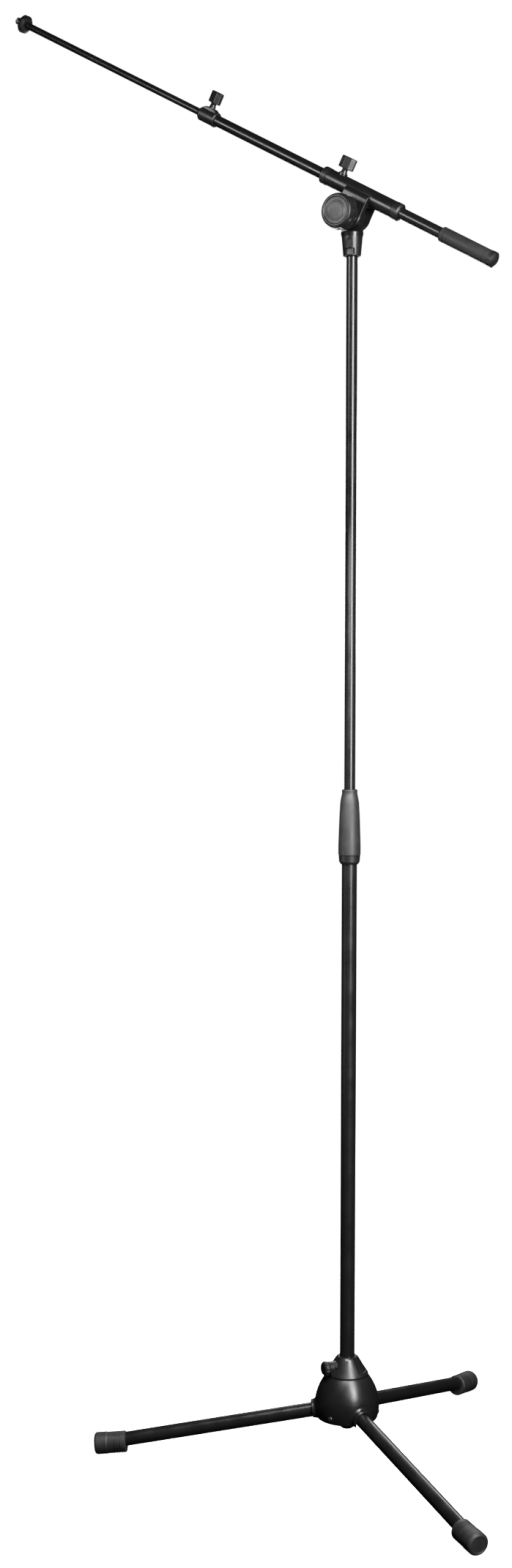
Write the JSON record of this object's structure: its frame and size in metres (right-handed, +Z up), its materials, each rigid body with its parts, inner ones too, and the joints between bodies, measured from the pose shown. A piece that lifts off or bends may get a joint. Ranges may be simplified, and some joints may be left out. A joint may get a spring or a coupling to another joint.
{
  "type": "boom microphone stand",
  "caption": "Floor stand with folding tripod legs, a two-part telescopic mast with a twist clutch, and a tilting telescopic boom ending in a microphone thread.",
  "frame": {"origin": "on the floor under the mast, on the mast axis", "axes": "+Z up along the mast; -X is the side that the boom points to and rises towards; the tilt bolt lies along Y with its knob on the -Y side"},
  "size_m": [0.8369, 0.5397, 1.9806],
  "materials": {
    "tube_black": "satin powder coat",
    "casting_black": "fine-textured powder coat on a casting",
    "plastic_black": "moulded, fine grain",
    "rubber_black": "soft matte",
    "face_grey": "matte",
    "steel_bright": "bright zinc plate"
  },
  "bodies": {
    "tripod_hub": {"hub_housing": "casting_black", "hub_crown": "casting_black", "hub_bottom_plate": "plastic_black", "hub_plate_screws": "steel_bright", "leg_hinge_pins": "steel_bright", "hub_brake_shoe": "steel_bright"},
    "leg_1": {"leg_1_root": "plastic_black", "leg_1_tube": "tube_black", "leg_1_foot": "rubber_black"},
    "leg_2": {"leg_2_root": "plastic_black", "leg_2_tube": "tube_black", "leg_2_foot": "rubber_black"},
    "leg_3": {"leg_3_root": "plastic_black", "leg_3_tube": "tube_black", "leg_3_foot": "rubber_black"},
    "hub_clamp": {"hub_clamp_stud": "steel_bright", "hub_clamp_knob": "plastic_black"},
    "lower_mast": {"lower_tube": "tube_black", "lower_tube_plug": "plastic_black", "clutch_collar": "plastic_black", "clutch_collet": "plastic_black"},
    "clutch_ring": {"clutch_grip": "rubber_black"},
    "mast_slider": {"mast_guide_bush": "plastic_black"},
    "upper_mast": {"upper_tube": "tube_black", "upper_tube_plug": "plastic_black", "joint_ferrule": "steel_bright", "joint_collar": "plastic_black", "joint_lock_clips": "plastic_black", "swivel_base": "casting_black", "friction_washers": "plastic_black"},
    "boom_head": {"boom_clamp": "casting_black", "tilt_bolt": "steel_bright", "boom_clamp_front_bush": "plastic_black", "boom_clamp_rear_bush": "plastic_black", "boom_clamp_liner": "plastic_black"},
    "tilt_knob": {"tilt_knob": "plastic_black", "tilt_knob_disc": "face_grey"},
    "boom_screw": {"boom_clamp_screw_shank": "steel_bright", "boom_clamp_screw_head": "plastic_black"},
    "outer_boom": {"outer_boom_tube": "tube_black", "telescope_collar": "plastic_black", "rear_grip": "rubber_black", "rear_grip_cap": "plastic_black"},
    "telescope_screw": {"telescope_screw_shank": "steel_bright", "telescope_screw_head": "plastic_black"},
    "boom_slider": {"inner_boom_guide": "plastic_black"},
    "inner_boom": {"inner_boom_tube": "tube_black", "microphone_thread": "steel_bright"},
    "lock_ring": {"microphone_lock_ring": "plastic_black"}
  },
  "joints": [
    {"name": "leg_1_fold", "type": "hinge", "parent": "tripod_hub", "child": "leg_1", "pos_m": [-0.02673, -0.01362, 0.07284], "axis": [0.454, -0.891, 0], "range_deg": [0, 79]},
    {"name": "leg_2_fold", "type": "hinge", "parent": "tripod_hub", "child": "leg_2", "pos_m": [0.00157, 0.02996, 0.07284], "axis": [-0.9986, 0.0523, 0], "range_deg": [0, 79]},
    {"name": "leg_3_fold", "type": "hinge", "parent": "tripod_hub", "child": "leg_3", "pos_m": [0.02516, -0.01634, 0.07284], "axis": [0.5446, 0.8387, 0], "range_deg": [0, 79]},
    {"name": "hub_clamp_turn", "type": "hinge", "parent": "tripod_hub", "child": "hub_clamp", "pos_m": [-0.01721, -0.02457, 0.131], "axis": [-0.5736, -0.8192, 0], "range_deg": [0, 360]},
    {"name": "lower_mast_slide", "type": "slide", "parent": "tripod_hub", "child": "lower_mast", "axis": [0, 0, 1], "range_m": [-0.24, 0.06]},
    {"name": "clutch_turn", "type": "hinge", "parent": "lower_mast", "child": "clutch_ring", "pos_m": [0, 0, 0.86], "axis": [0, 0, 1], "range_deg": [0, 120]},
    {"name": "mast_extend", "type": "slide", "parent": "lower_mast", "child": "mast_slider", "axis": [0, 0, 1], "range_m": [-0.66, 0]},
    {"name": "mast_swivel", "type": "hinge", "parent": "mast_slider", "child": "upper_mast", "pos_m": [0, 0, 0.8], "axis": [0, 0, 1], "continuous": true},
    {"name": "boom_tilt", "type": "hinge", "parent": "upper_mast", "child": "boom_head", "pos_m": [0, 0, 1.6538], "axis": [0, 1, 0], "range_deg": [-118, 62]},
    {"name": "tilt_knob_turn", "type": "hinge", "parent": "boom_head", "child": "tilt_knob", "pos_m": [0, -0.03, 1.6538], "axis": [0, -1, 0], "range_deg": [0, 360]},
    {"name": "boom_screw_turn", "type": "hinge", "parent": "boom_head", "child": "boom_screw", "pos_m": [-0.00964, 0, 1.71555], "axis": [0.4695, 0, 0.8829], "range_deg": [0, 360]},
    {"name": "boom_slide", "type": "slide", "parent": "boom_head", "child": "outer_boom", "axis": [-0.8829, 0, 0.4695], "range_m": [-0.185, 0.064]},
    {"name": "telescope_screw_turn", "type": "hinge", "parent": "outer_boom", "child": "telescope_screw", "pos_m": [-0.21161, 0, 1.82294], "axis": [0.4695, 0, 0.8829], "range_deg": [0, 360]},
    {"name": "boom_extend", "type": "slide", "parent": "outer_boom", "child": "boom_slider", "axis": [-0.8829, 0, 0.4695], "range_m": [-0.3, 0]},
    {"name": "inner_boom_roll", "type": "hinge", "parent": "boom_slider", "child": "inner_boom", "pos_m": [-0.33909, 0, 1.86808], "axis": [-0.8829, 0, 0.4695], "continuous": true},
    {"name": "lock_ring_turn", "type": "hinge", "parent": "inner_boom", "child": "lock_ring", "pos_m": [-0.52805, 0, 1.96854], "axis": [-0.8829, 0, 0.4695], "range_deg": [0, 360]}
  ]
}
